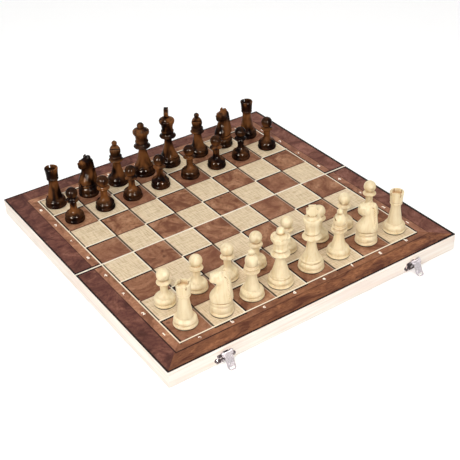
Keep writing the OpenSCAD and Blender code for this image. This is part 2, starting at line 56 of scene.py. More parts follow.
# ------------------------------------------------------------------ sizes read from the frame
panel_low, panel_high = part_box("front_panel")
SEAM_Y = (panel_high.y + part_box("back_panel")[0].y) / 2
TOP_Z = panel_high.z
PANEL_UNDER_Z = panel_low.z
HALF_X = panel_high.x
HALF_Y = SEAM_Y - panel_low.y
RAIL_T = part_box("front_outer_rail")[1].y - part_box("front_outer_rail")[0].y
FIELD_X = 161.6 * MM          # half the width of the 64 squares
FIELD_Y = 164.5 * MM          # half their depth
STRIP_X = 172.4 * MM          # outer line of the strip with the coordinates
STRIP_Y = 174.4 * MM
MARK_X = 168.0 * MM           # where the coordinates stand
MARK_Y = 169.2 * MM


# ------------------------------------------------------------------ helpers
def pick(*objects):
    """Leaves only these objects selected, the first of them active."""
    bpy.ops.object.select_all(action="DESELECT")
    for o in objects:
        o.select_set(True)
    bpy.context.view_layer.objects.active = objects[0]


def srgb(r, g, b):
    """A colour given as it looks on a screen, 0 to 255, as Blender's linear one."""
    def linear(v):
        v /= 255
        return v / 12.92 if v <= 0.04045 else ((v + 0.055) / 1.055) ** 2.4
    return (linear(r), linear(g), linear(b), 1.0)


class Finish:
    """A material under construction, with short calls for the nodes that it needs."""

    def __init__(self, name):
        self.material = bpy.data.materials.new(name)
        self.material.use_nodes = True
        self.tree = self.material.node_tree
        self.shader = self.tree.nodes["Principled BSDF"]
        self.place = self.new("ShaderNodeTexCoord").outputs["Object"]

    def new(self, kind, **settings):
        node = self.tree.nodes.new(kind)
        for key, value in settings.items():
            setattr(node, key, value)
        return node

    def feed(self, socket, value):
        if hasattr(value, "is_output"):
            self.tree.links.new(value, socket)
        else:
            socket.default_value = value

    def math(self, operation, a, b=0.0, c=0.0):
        node = self.new("ShaderNodeMath", operation=operation)
        for socket, value in zip(node.inputs, (a, b, c)):
            self.feed(socket, value)
        return node.outputs[0]

    def step(self, value, low, high):
        """0 below low, 1 above high, a smooth ramp between."""
        node = self.new("ShaderNodeMapRange", interpolation_type="SMOOTHSTEP")
        self.feed(node.inputs["Value"], value)
        self.feed(node.inputs["From Min"], low)
        self.feed(node.inputs["From Max"], high)
        return node.outputs[0]

    def band(self, value, low, high, soft=0.08 * MM):
        """1 between low and high, 0 outside."""
        return self.math("MULTIPLY", self.step(value, low - soft, low + soft),
                         self.math("SUBTRACT", 1.0, self.step(value, high - soft, high + soft)))

    def mix(self, share, a, b):
        """The colour a where share is 0, b where it is 1."""
        node = self.new("ShaderNodeMix", data_type="RGBA")
        self.feed(node.inputs[0], share)
        self.feed(node.inputs[6], a)
        self.feed(node.inputs[7], b)
        return node.outputs[2]

    def mix_value(self, share, a, b):
        """The number a where share is 0, b where it is 1."""
        return self.math("MULTIPLY_ADD", share, b - a, a)

    def scaled(self, vector, scale, location=(0, 0, 0)):
        node = self.new("ShaderNodeMapping")
        self.feed(node.inputs["Vector"], vector)
        node.inputs["Scale"].default_value = scale
        node.inputs["Location"].default_value = location
        return node.outputs[0]

    def noise(self, vector, scale, detail=3.0, roughness=0.5, distortion=0.0):
        node = self.new("ShaderNodeTexNoise")
        self.feed(node.inputs["Vector"], vector)
        node.inputs["Scale"].default_value = scale
        node.inputs["Detail"].default_value = detail
        node.inputs["Roughness"].default_value = roughness
        node.inputs["Distortion"].default_value = distortion
        return node.outputs["Fac"]

    def spots(self, vector, scale):
        """Distance to the nearest of many scattered points."""
        node = self.new("ShaderNodeTexVoronoi")
        self.feed(node.inputs["Vector"], vector)
        node.inputs["Scale"].default_value = scale
        return node.outputs["Distance"]

    def openness(self, distance):
        """1 on open surfaces, towards 0 in the turned grooves of the same piece."""
        node = self.new("ShaderNodeAmbientOcclusion", samples=8, only_local=True)
        node.inputs["Distance"].default_value = distance
        return node.outputs["AO"]

    def axes(self):
        """X, Y and Z of the point by themselves."""
        node = self.new("ShaderNodeSeparateXYZ")
        self.feed(node.inputs[0], self.place)
        return node.outputs[:3]

    def joined(self, x, y, z=0.0):
        node = self.new("ShaderNodeCombineXYZ")
        for socket, value in zip(node.inputs, (x, y, z)):
            self.feed(socket, value)
        return node.outputs[0]

    def felt_and_contact_shade(self, colour):
        """The dark felt edge under a man's foot, with painted contact shadow in the same band."""
        above = self.step(self.axes()[2], *FELT_AND_SHADE_TOP)
        # dark felt edge, partly painted contact shadow where the foot meets the board
        return self.mix(above, srgb(44, 24, 16), colour)

    def bump(self, height, distance, strength=1.0):
        node = self.new("ShaderNodeBump")
        node.inputs["Strength"].default_value = strength
        node.inputs["Distance"].default_value = distance
        self.feed(node.inputs["Height"], height)
        self.feed(self.shader.inputs["Normal"], node.outputs[0])

    def finish(self, colour, roughness, **sockets):
        self.feed(self.shader.inputs["Base Color"], colour)
        self.feed(self.shader.inputs["Roughness"], roughness)
        for key, value in sockets.items():
            self.feed(self.shader.inputs[key.replace("_", " ")], value)
        return self.material


# ------------------------------------------------------------------ wood and metal finishes
FELT_AND_SHADE_TOP = (TOP_Z + 1.4 * MM, TOP_Z + 1.6 * MM)     # where the dark felt edge and the painted contact shadow end and the wood starts
STEMS = (TOP_Z + 12 * MM, TOP_Z + 36 * MM)          # heights of the men's stems
CROWNS = (TOP_Z + 44 * MM, TOP_Z + 50 * MM)         # where the tall men's crowns start


def pale_rail_wood(name, along):
    """Bare pale wood of the rails, its grain along X or Y."""
    f = Finish(name)
    stretch = (12, 260, 260) if along == "x" else (260, 12, 260)
    grain = f.noise(f.scaled(f.place, stretch), 1.0, 4, 0.6, 0.4)
    cloud = f.noise(f.scaled(f.place, (14, 14, 60) if along == "x" else (14, 14, 60)), 1.0, 2, 0.5)
    colour = f.mix(f.step(grain, 0.35, 0.75), srgb(238, 232, 224), srgb(226, 213, 201))
    colour = f.mix(f.math("MULTIPLY", f.step(cloud, 0.45, 0.8), 0.5), colour, srgb(230, 212, 203))
    f.bump(grain, 0.05 * MM, 0.5)
    return f.finish(colour, 0.5, Specular_IOR_Level=0.02)


def light_man_wood():
    """Waxed pale wood, with painted ochre shade in the turned grooves."""
    f = Finish("light_man_boxwood")
    grain = f.noise(f.scaled(f.place, (300, 300, 22)), 1.0, 4, 0.6, 0.3)
    cloud = f.noise(f.place, 60, 2, 0.5)
    colour = f.mix(f.step(grain, 0.35, 0.72), srgb(234, 218, 182), srgb(222, 199, 154))
    colour = f.mix(f.math("MULTIPLY", f.step(cloud, 0.4, 0.75), 0.3), colour, srgb(238, 223, 190))
    # painted shade: ochre darkening where the piece's own grooves are occluded
    groove_shade = f.math("SUBTRACT", 1.0, f.step(f.openness(5.0 * MM), 0.3, 0.98))
    colour = f.mix(f.math("MULTIPLY", groove_shade, 0.95), colour, srgb(166, 116, 58))
    f.bump(grain, 0.03 * MM, 0.3)
    return f.finish(f.felt_and_contact_shade(colour), 0.5, Specular_IOR_Level=0.1)


def dark_man_lacquer():
    """Glossy dark lacquer with amber on the stems and the crowns, partly lacquer worn thin and
    partly painted sheen; the grooves stay dark as painted shade.
    """
    f = Finish("dark_man_lacquer")
    grain = f.noise(f.scaled(f.place, (260, 260, 20)), 1.0, 4, 0.6, 0.6)
    cloud = f.noise(f.scaled(f.place, (70, 70, 34)), 1.0, 2, 0.5)
    height = f.axes()[2]
    colour = f.mix(f.step(grain, 0.35, 0.7), srgb(8, 3, 2), srgb(34, 14, 8))
    amber = f.mix(grain, srgb(98, 56, 28), srgb(158, 102, 56))
    # amber share: partly real worn lacquer, partly painted sheen; the occlusion mask below keeps
    # painted shade in the grooves
    amber_heights = f.math("MAXIMUM", f.band(height, *STEMS, 4 * MM), f.step(height, *CROWNS))
    amber_and_sheen = f.math("MULTIPLY", f.step(cloud, 0.38, 0.6), f.step(f.openness(4.0 * MM), 0.4, 0.95))
    amber_and_sheen = f.math("MULTIPLY", amber_and_sheen, f.mix_value(amber_heights, 0.15, 0.72))
    colour = f.mix(amber_and_sheen, colour, amber)
    return f.finish(f.felt_and_contact_shade(colour), 0.4, Specular_IOR_Level=0.0, Coat_Weight=0.8,
                    Coat_Roughness=0.03, Coat_IOR=1.12)


def bright_nickel(name, dark_reflection_share, sunk):
    """Brushed nickel; its painted dark reflections and the painted shade in its corners are given
    as shares.
    """
    f = Finish(name)
    brushed = f.noise(f.scaled(f.place, (900, 2600, 2600)), 1.0, 3, 0.6)
    colour = f.mix(f.step(brushed, 0.3, 0.7), srgb(238, 232, 234), srgb(206, 196, 200))
    # painted dark reflections: dark patches standing in for what the bright metal mirrors
    painted_dark_reflection = f.noise(f.place, 190, 2, 0.5, 1.0)
    groove_shade = f.math("SUBTRACT", 1.0, f.step(f.openness(2.5 * MM), 0.3, 0.9))
    shade = f.math("MAXIMUM", f.math("MULTIPLY", groove_shade, sunk),
                   f.math("MULTIPLY", f.step(painted_dark_reflection, 0.38, 0.46), dark_reflection_share))
    colour = f.mix(shade, colour, srgb(48, 34, 38))
    f.bump(brushed, 0.01 * MM, 0.35)
    return f.finish(colour, 0.14, Metallic=1.0)


# ------------------------------------------------------------------ the printed panels
BLACK_INLAY = srgb(24, 12, 9)
PALE_INLAY = srgb(238, 228, 206)


def burl(f, vector, dark, mid, light, knot, scale=1.0):
    """Mottled burl veneer with small scattered knots, in four colours."""
    cloud = f.noise(vector, 38 * scale, 5, 0.62, 1.2)
    speck = f.noise(vector, 260 * scale, 3, 0.6)
    colour = f.mix(f.step(cloud, 0.34, 0.54), dark, mid)
    colour = f.mix(f.step(cloud, 0.5, 0.68), colour, light)
    colour = f.mix(f.math("MULTIPLY", f.step(speck, 0.46, 0.66), 0.5), colour, dark)
    warped = f.new("ShaderNodeVectorMath", operation="ADD")
    f.feed(warped.inputs[0], vector)
    f.feed(warped.inputs[1], f.scaled(f.joined(speck, cloud), (0.006, 0.012, 0)))
    knots = f.math("SUBTRACT", 1.0, f.step(f.spots(warped.outputs[0], 72 * scale), 0.08, 0.22))
    where = f.step(f.noise(vector, 17 * scale, 1, 0.5), 0.52, 0.62)
    return f.mix(f.math("MULTIPLY", f.math("MULTIPLY", knots, where), 0.75), colour, knot)


class PanelPlace:
    """Where a point of the two panels lies: its square, and how far out it is."""

    def __init__(self, f):
        self.x, y, self.z = f.axes()
        self.y = f.math("SUBTRACT", y, SEAM_Y)
        self.flat = f.joined(self.x, self.y)
        self.out_x, self.out_y = f.math("ABSOLUTE", self.x), f.math("ABSOLUTE", self.y)
        self.pitch_x, self.pitch_y = 2 * FIELD_X / 8, 2 * FIELD_Y / 8
        self.column = f.math("DIVIDE", f.math("ADD", self.x, FIELD_X), self.pitch_x)
        self.row = f.math("DIVIDE", f.math("ADD", self.y, FIELD_Y), self.pitch_y)
        self.file_no, self.rank_no = f.math("FLOOR", self.column), f.math("FLOOR", self.row)
        self.light = f.math("FLOORED_MODULO", f.math("ADD", self.file_no, self.rank_no), 2.0)
        self.beyond_field = self.beyond(f, FIELD_X, FIELD_Y)

    def beyond(self, f, half_x, half_y):
        """How far the point lies outside a rectangle: its larger side distance."""
        return f.math("MAXIMUM", f.math("SUBTRACT", self.out_x, half_x),
                      f.math("SUBTRACT", self.out_y, half_y))


def veneered_squares(f, at):
    """The 64 squares; also the pale veneer by itself, and its weave."""
    cell = f.new("ShaderNodeTexWhiteNoise", noise_dimensions="2D")
    f.feed(cell.inputs["Vector"], f.joined(at.file_no, at.rank_no))
    jumped = f.new("ShaderNodeVectorMath", operation="MULTIPLY_ADD")
    f.feed(jumped.inputs[0], cell.outputs["Color"])
    jumped.inputs[1].default_value = (3, 3, 0)
    f.feed(jumped.inputs[2], at.flat)
    dark_square = burl(f, jumped.outputs[0], srgb(108, 65, 46), srgb(152, 106, 77),
                       srgb(182, 136, 103), srgb(72, 38, 28))
    dark_square = f.mix(f.math("MULTIPLY", cell.outputs["Value"], 0.45), dark_square,
                        srgb(124, 78, 60))
    weft = f.noise(f.scaled(at.flat, (60, 620, 1)), 1.0, 4, 0.7)
    warp = f.noise(f.scaled(at.flat, (620, 60, 1)), 1.0, 4, 0.7)
    cloth = f.math("ADD", f.step(weft, 0.42, 0.66), f.step(warp, 0.42, 0.66))
    cloth = f.math("MULTIPLY", cloth, 0.5)
    light_square = f.mix(cloth, srgb(232, 213, 182), srgb(178, 150, 114))
    light_square = f.mix(f.math("MULTIPLY", f.noise(jumped.outputs[0], 60, 2), 0.35),
                         light_square, srgb(206, 178, 136))
    return f.mix(at.light, dark_square, light_square), light_square, cloth


def veneered_border(f, at):
    """Border veneer, cut across on the front side and mitred at the corners."""
    left_veneer = burl(f, at.flat, srgb(70, 37, 31), srgb(106, 63, 53), srgb(136, 88, 72),
                       srgb(50, 23, 20))
    right_veneer = burl(f, at.flat, srgb(90, 51, 42), srgb(124, 80, 67), srgb(148, 100, 85),
                        srgb(72, 38, 32))
    side_veneer = f.mix(f.step(at.x, -120 * MM, 120 * MM), left_veneer, right_veneer)
    front_veneer = burl(f, f.scaled(at.flat, (0.75, 2.2, 1), (0.31, 0.17, 0)), srgb(80, 43, 30),
                        srgb(124, 77, 52), srgb(154, 101, 68), srgb(56, 28, 20))
    at_front = f.step(f.math("SUBTRACT", f.math("MULTIPLY", at.y, -1.0), at.out_x),
                      -0.4 * MM, 0.4 * MM)
    border = f.mix(at_front, side_veneer, front_veneer)

    # the strip with the coordinates, paler, with a dark line round it
    strip_veneer = burl(f, f.scaled(at.flat, (1.3, 1.3, 1), (0.7, 0.2, 0)), srgb(124, 80, 58),
                        srgb(162, 112, 84), srgb(188, 138, 104), srgb(90, 54, 38))
    at_right = f.step(at.x, 150 * MM, 160 * MM)
    strip_veneer = f.mix(f.mix_value(at_right, 0, 0.35), strip_veneer, right_veneer)
    past_x = f.step(at.out_x, STRIP_X - 0.1 * MM, STRIP_X + 0.1 * MM)
    past_y = f.step(at.out_y, STRIP_Y - 0.1 * MM, STRIP_Y + 0.1 * MM)
    in_strip = f.math("MULTIPLY", f.math("SUBTRACT", 1.0, past_x),
                      f.math("SUBTRACT", 1.0, past_y))
    in_strip = f.math("MULTIPLY", in_strip,
                      f.math("SUBTRACT", 1.0, f.math("MULTIPLY", at_front, 0.6)))
    border = f.mix(in_strip, border, strip_veneer)
    off_left_corner = f.step(f.math("ADD", at.x, at.y), -290 * MM, -270 * MM)
    strip_line = f.math("MULTIPLY", f.band(at.beyond(f, STRIP_X, STRIP_Y), -0.2 * MM, 1.3 * MM),
                        f.mix_value(off_left_corner, 0.95, 0.4))
    return f.mix(strip_line, border, srgb(34, 17, 14))


def inlaid_lines(f, at, top):
    """A pale and a black line side by side along the edges of the squares, as stringing."""
    across_x = f.math("MULTIPLY", f.math("SUBTRACT", at.column, f.math("ROUND", at.column)),
                      at.pitch_x)
    across_y = f.math("MULTIPLY", f.math("SUBTRACT", at.row, f.math("ROUND", at.row)),
                      at.pitch_y)
    beside_x = f.math("SUBTRACT", 1.0, f.step(at.out_x, FIELD_X + 0.9 * MM, FIELD_X + 1.1 * MM))
    beside_y = f.math("SUBTRACT", 1.0, f.step(at.out_y, FIELD_Y + 0.9 * MM, FIELD_Y + 1.1 * MM))
    at_frame = f.step(at.beyond_field, -1.3 * MM, -1.25 * MM)
    dark = f.math("SUBTRACT", 1.0, at.light)
    right_of_line = f.step(across_x, -0.01 * MM, 0.01 * MM)
    behind_line = f.step(across_y, -0.01 * MM, 0.01 * MM)
    left_is_light = f.math("ABSOLUTE", f.math("SUBTRACT", at.light, right_of_line))
    left_is_dark = f.math("SUBTRACT", 1.0, left_is_light)
    back_is_light = f.math("ABSOLUTE", f.math("SUBTRACT", dark, behind_line))
    left_is_pale = f.math("MAXIMUM", left_is_light, at_frame)
    back_is_pale = f.math("MAXIMUM", back_is_light, at_frame)
    pale_x = f.math("MAXIMUM",
                    f.math("MULTIPLY", f.band(across_x, -1.1 * MM, 0.2 * MM), left_is_pale),
                    f.math("MULTIPLY", f.band(across_x, -1.3 * MM, -0.3 * MM), 0.3))
    pale_y = f.math("MULTIPLY", f.band(across_y, -0.9 * MM, 0.7 * MM), back_is_pale)
    black_x = f.math("MAXIMUM",
                     f.math("MULTIPLY", f.band(across_x, 0.35 * MM, 2.2 * MM), left_is_light),
                     f.math("MULTIPLY", f.band(across_x, -0.2 * MM, 1.9 * MM),
                            f.math("MULTIPLY", left_is_dark, 0.9)))
    black_y = f.math("MULTIPLY", f.band(across_y, -3.1 * MM, -1.1 * MM), dark)
    brown_y = f.math("MULTIPLY", f.band(across_y, -2.0 * MM, 0.02 * MM), at.light)
    off_seam = f.math("MULTIPLY", f.step(at.out_y, 6 * MM, 7 * MM), beside_x)
    close = f.math("SUBTRACT", 1.0, f.step(at.beyond_field, 3.3 * MM, 3.4 * MM))
    for line, kept, ink in ((brown_y, off_seam, srgb(104, 66, 50)),
                            (black_y, off_seam, BLACK_INLAY), (black_x, beside_y, BLACK_INLAY),
                            (pale_x, beside_y, PALE_INLAY), (pale_y, beside_x, PALE_INLAY)):
        top = f.mix(f.math("MULTIPLY", f.math("MULTIPLY", line, kept), close), top, ink)
    return top


def edge_and_seam(f, at, top):
    """The black line round the panel, wider on the right, and the lines along the fold."""
    to_edge = f.math("MINIMUM", f.math("SUBTRACT", HALF_X, at.out_x),
                     f.math("SUBTRACT", HALF_Y, at.out_y))
    to_line = f.math("SUBTRACT", to_edge,
                     f.mix_value(f.step(at.x, 168 * MM, 169 * MM), 0, 0.9 * MM))
    top = f.mix(f.math("SUBTRACT", 1.0, f.step(to_line, 2.1 * MM, 2.3 * MM)), top,
                srgb(24, 12, 11))
    seam_black = f.math("MULTIPLY", f.band(at.out_y, 1.2 * MM, 3.3 * MM),
                        f.step(at.beyond_field, 0.9 * MM, 1.0 * MM))
    seam_pale = f.math("SUBTRACT", 1.0, f.step(at.out_y, 0.9 * MM, 1.1 * MM))
    top = f.mix(seam_black, top, srgb(20, 10, 9))
    return f.mix(seam_pale, top, srgb(238, 228, 208))


def backgammon_field(f, at, light_veneer):
    """Six points at each end of each tray, apexes towards its middle."""
    inner_x = HALF_X - RAIL_T
    inner_y = HALF_Y - 2 * RAIL_T
    across = f.math("DIVIDE", f.math("SUBTRACT", at.out_y, RAIL_T), inner_y / 6)
    point_no = f.math("FLOOR", across)
    from_middle = f.math("ABSOLUTE", f.math("SUBTRACT", f.math("FRACT", across), 0.5))
    reach = f.math("DIVIDE", f.math("SUBTRACT", inner_x, at.out_x), 0.8 * inner_x)
    width = f.math("MULTIPLY", f.math("SUBTRACT", 1.0, reach), 0.46)
    inside = f.math("SUBTRACT", width, from_middle)
    in_point = f.step(inside, -0.004, 0.004)
    rim = f.math("SUBTRACT", f.step(inside, -0.034, -0.026), in_point)
    far_end = f.step(at.x, -0.001, 0.001)
    upper = f.step(at.y, -0.001, 0.001)
    odd = f.math("FLOORED_MODULO", f.math("ADD", f.math("ADD", point_no, far_end), upper), 2.0)
    ground = burl(f, f.scaled(at.flat, (1, 1, 1), (0.4, 0.9, 0)), srgb(120, 74, 46),
                  srgb(158, 106, 70), srgb(182, 130, 90), srgb(92, 54, 36), 0.8)
    dark_point = burl(f, f.scaled(at.flat, (1, 1, 1), (0.8, 0.1, 0)), srgb(60, 30, 22),
                      srgb(84, 46, 34), srgb(104, 60, 44), srgb(44, 22, 16))
    under = f.mix(in_point, ground, f.mix(odd, dark_point, light_veneer))
    return f.mix(f.math("MULTIPLY", rim, 0.8), under, srgb(36, 20, 16))


def printed_panel():
    """The chess board above, the backgammon field below and bare wood at the edges."""
    f = Finish("printed_panel")
    at = PanelPlace(f)
    squares, light_veneer, cloth = veneered_squares(f, at)
    top = f.mix(f.step(at.beyond_field, -0.05 * MM, 0.05 * MM), squares, veneered_border(f, at))
    top = edge_and_seam(f, at, inlaid_lines(f, at, top))
    under = backgammon_field(f, at, light_veneer)
    grain = f.noise(f.scaled(f.place, (30, 30, 900)), 1.0, 3, 0.6)
    edge = f.mix(f.step(grain, 0.35, 0.7), srgb(243, 235, 226), srgb(226, 210, 196))
    is_top = f.step(at.z, TOP_Z - 0.06 * MM, TOP_Z - 0.03 * MM)
    is_under = f.math("SUBTRACT", 1.0,
                      f.step(at.z, PANEL_UNDER_Z + 0.02 * MM, PANEL_UNDER_Z + 0.04 * MM))
    colour = f.mix(is_under, f.mix(is_top, edge, top), under)
    f.bump(f.math("ADD", cloth, f.noise(at.flat, 400, 3)), 0.02 * MM, 0.3)
    return f.finish(colour, 0.55, Specular_IOR_Level=0.08)


rail_x = pale_rail_wood("pale_rail_wood_x", "x")
rail_y = pale_rail_wood("pale_rail_wood_y", "y")
nickel = bright_nickel("bright_nickel", 0.92, 0.95)
# the levers get fewer painted dark reflections than the plates
lever_nickel = bright_nickel("lever_nickel", 0.25, 0.9)
boxwood = light_man_wood()
lacquer = dark_man_lacquer()
print_finish = printed_panel()


def wear(obj, material):
    """Gives a piece this finish and no other."""
    obj.data.materials.clear()
    obj.data.materials.append(material)


for name, node in NODES.items():
    if name.endswith("_panel"):
        wear(node, print_finish)
    elif name.endswith(("outer_rail", "seam_rail")):
        wear(node, rail_x)
    elif name.endswith("_rail"):
        wear(node, rail_y)
    elif name.startswith("dark_"):
        wear(node, lacquer)
    elif name.startswith("white_"):
        wear(node, boxwood)
    elif name.endswith("_lever"):
        wear(node, lever_nickel)
    else:
        wear(node, nickel)


# ------------------------------------------------------------------ the knights
NECK_RINGS = (               # middle x, middle z, lean, half depth, half width; nose towards +X
    (-0.3, 15.8, 0, 10.7, 10.2), (-0.2, 17.2, 0, 12.1, 10.3), (-0.1, 19, 0, 12.7, 10),
    (-0.4, 22, 0, 12.4, 9.3), (-1.2, 25.4, 0, 11.2, 8.5), (-2, 28.4, -3, 9.9, 7.8),
    (-2.9, 31.4, -7, 8.7, 7.2), (-3.2, 34.8, -11, 8.1, 6.8), (-3, 38.8, -15, 8, 6.4),
    (-2.8, 43, -17, 7.5, 6), (-2.7, 46.8, -15, 6.4, 5.3), (-2.2, 49.2, -12, 4.6, 4.2),
    (-2, 50.8, -12, 2.6, 2.6))
HEAD_RINGS = (
    (-3, 43, -90, 5.5, 4.5), (0.5, 43.2, -88, 7.5, 5.8), (3.6, 43.8, -86, 6.9, 5.4),
    (6.6, 44.4, -82, 5.9, 4.8), (9, 44.3, -80, 5.4, 4.3), (10.3, 44.2, -80, 4.6, 3.8),
    (10.9, 44.2, -80, 3.2, 2.8))
MANE_LOCKS = 11
CARVING_GRAIN = 0.34         # side of the cells that the carved head is grown together from
SIDE_LUMPS = (               # half sizes, place and turn, on the left; mirrored to the right
    ((4.4, 1.6, 4.6), (1.2, 4.9, 42.0), (0, 20, 0)),        # cheek
    ((2.6, 0.9, 1.0), (4.0, 4.8, 47.4), (0, 8, 0)),         # brow
    ((1.1, 0.8, 1.1), (3.6, 5.1, 45.6), (0, 0, 0)),         # eye
    ((1.5, 0.9, 1.4), (9.4, 3.5, 46.2), (0, 0, 0)),         # nostril
    ((2.0, 1.4, 3.4), (-3.8, 2.8, 50.0), (10, -16, 0)))     # ear
SIDE_CUTS = (
    ((0.8, 0.7, 0.6), (10.6, 3.7, 46.1), (0, 30, 0)),       # nostril
    ((3.4, 0.8, 0.5), (-4.4, 5.2, 47.6), (0, -38, 0)))      # below the ear
FOOT_OUTLINE = (             # radius and height of the turned foot
    (12.1, 0), (12.7, 0.25), (12.9, 0.8), (12.9, 3.2), (12.6, 3.8), (12.1, 4.1), (11.9, 4.5),
    (12.3, 5.8), (12.5, 7.6), (12.2, 9.6), (11.3, 11.3), (10.7, 11.9), (10.6, 12.1), (11.0, 12.5),
    (11.3, 13.1), (11.6, 14.2), (11.3, 15.3), (11.0, 15.9), (10.6, 16.2))


def ringed_solid(rings, points, squareness=(1.0, 1.0)):
    """A closed solid grown ring by ring: extrude the open end, then lean, size and move it."""
    bpy.ops.mesh.primitive_circle_add(vertices=points, radius=1, fill_type="NGON")
    solid = bpy.context.object
    for v in solid.data.vertices:       # flatter sides than a circle's
        v.co.x = math.copysign(abs(v.co.x) ** squareness[0], v.co.x)
        v.co.y = math.copysign(abs(v.co.y) ** squareness[1], v.co.y)
    bpy.ops.object.mode_set(mode="EDIT")
    bpy.ops.mesh.select_all(action="SELECT")
    x0, z0, lean0, depth0, width0 = 0, 0, 0, 1, 1
    for i, (x, z, lean, depth, width) in enumerate(rings):
        if i:
            bpy.ops.mesh.extrude_region_move()
        centre = (x0, 0, z0)
        bpy.ops.transform.rotate(value=math.radians(-lean0), orient_axis="Y",
                                 center_override=centre)
        bpy.ops.transform.resize(value=(depth / depth0, width / width0, 1),
                                 center_override=centre)
        bpy.ops.transform.translate(value=(x - x0, 0, z - z0))
        bpy.ops.transform.rotate(value=math.radians(lean), orient_axis="Y",
                                 center_override=(x, 0, z))
        x0, z0, lean0, depth0, width0 = x, z, lean, depth, width
    bpy.ops.mesh.select_all(action="SELECT")
    bpy.ops.mesh.normals_make_consistent(inside=False)
    bpy.ops.object.mode_set(mode="OBJECT")
    return solid


def rounded(size, place, turn):
    """A rounded lump of the given half sizes."""
    bpy.ops.mesh.primitive_uv_sphere_add(segments=24, ring_count=12, radius=1,
                                         location=place, scale=size,
                                         rotation=[math.radians(a) for a in turn])
    lump = bpy.context.object
    bpy.ops.object.transform_apply()
    return lump


def modified(obj, kind, **settings):
    """Applies one modifier to a piece."""
    pick(obj)
    modifier = obj.modifiers.new(kind.lower(), kind)
    for key, value in settings.items():
        setattr(modifier, key, value)
    bpy.ops.object.modifier_apply(modifier=modifier.name)


def joined_mesh(*objects):
    """Several pieces as one mesh."""
    pick(*objects)
    bpy.ops.object.join()
    return bpy.context.object


def mirrored(side, lumps):
    """Rounded lumps on one side of the head; side is 1 or -1."""
    return [rounded(size, (x, side * y, z), (side * turn[0], turn[1], turn[2]))
            for size, (x, y, z), turn in lumps]


def carved_head():
    """Neck, head, ears, eyes and mane grown together, then cut, in millimetres."""
    neck = ringed_solid(NECK_RINGS, points=24, squareness=(0.9, 0.7))
    head = ringed_solid(HEAD_RINGS, points=24, squareness=(0.9, 0.7))
    for part in (neck, head):
        modified(part, "SUBSURF", levels=1, render_levels=1)
    lumps = [neck, head]
    for side in (-1, 1):
        lumps += mirrored(side, SIDE_LUMPS)
        for i in range(MANE_LOCKS):
            t = i / (MANE_LOCKS - 1)
            lumps.append(rounded((1.5, 1.3, 5.6 - 1.2 * t),
                                 (-6.0 - 1.6 * t, side * (4.5 + 3.4 * t), 47.0 - 25.5 * t),
                                 (side * 6, 36 - 8 * t, 0)))
    for i in range(MANE_LOCKS):                                             # crest
        t = i / (MANE_LOCKS - 1)
        lumps.append(rounded((2.4, 3.4 + 3.2 * t, 2.3), (-7.2 - 3.0 * t, 0, 48.4 - 27.4 * t),
                             (0, -20 + 20 * t, 0)))
    lumps.append(rounded((2.6, 1.6, 1.6), (0.6, 0, 50.2), (0, 12, 0)))      # forelock
    horse = joined_mesh(*lumps)
    cutters = [rounded((3.4, 6, 0.5), (10.9, 0, 40.4), (0, 14, 0))]         # mouth
    for side in (-1, 1):
        cutters += mirrored(side, SIDE_CUTS)
        for i in range(MANE_LOCKS):                                         # between locks
            t = (i + 0.5) / MANE_LOCKS
            cutters.append(rounded((0.38, 1.3, 4.9 - 0.8 * t),
                                   (-6.4 - 1.7 * t, side * (5.8 + 3.5 * t), 46.8 - 25.5 * t),
                                   (side * 6, 38 - 8 * t, 0)))
    cutter = joined_mesh(*cutters)
    modified(horse, "REMESH", mode="VOXEL", voxel_size=CARVING_GRAIN)
    modified(horse, "BOOLEAN", operation="DIFFERENCE", object=cutter, solver="EXACT",
             use_self=True)
    bpy.data.objects.remove(cutter)
    modified(horse, "REMESH", mode="VOXEL", voxel_size=CARVING_GRAIN)
    modified(horse, "SMOOTH", factor=0.5, iterations=4)
    return horse


def knight_pattern():
    """One whole knight in millimetres, standing at the origin."""
    foot = ringed_solid([(0, z, 0, r, r) for r, z in FOOT_OUTLINE], points=72)
    pick(foot)
    bpy.ops.object.shade_smooth_by_angle(angle=math.radians(35))
    horse = carved_head()
    pick(horse)
    bpy.ops.object.shade_smooth()
    return joined_mesh(horse, foot)


KNIGHTS = {                  # the way that each nose points, in degrees from +X
    "white_knight_left": 150, "white_knight_right": 150,
    "dark_knight_left": 207, "dark_knight_right": 207}


def set_knights():
    """A copy of the carved knight on each knight's place, instead of the plain solid."""
    pattern = knight_pattern()
    for node, facing in KNIGHTS.items():
        carved = pattern.copy()
        carved.data = pattern.data.copy()
        carved.name = node + "_carved"
        bpy.context.scene.collection.objects.link(carved)
        soles = [v.co for v in NODES[node].data.vertices if v.co.z < TOP_Z + 0.2 * MM]
        middle = [(min(c[i] for c in soles) + max(c[i] for c in soles)) / 2 for i in (0, 1)]
        carved.data.transform(Matrix.Translation((*middle, TOP_Z))
                              @ Matrix.Rotation(math.radians(facing), 4, "Z") @ Matrix.Scale(MM, 4))
        white = node.startswith("white")
        wear(carved, boxwood if white else lacquer)
        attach(carved, node + "_man")
        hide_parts(node)
    bpy.data.objects.remove(pattern)


set_knights()


# ------------------------------------------------------------------ coordinates round the squares
MARK_SIZE = 6.0 * MM
MARK_BOLDNESS = 0.34 * MM
MARK_HALF_T = 0.015 * MM      # half the thickness of the print
MARK_CLEAR = 0.001 * MM       # between the print and the panel


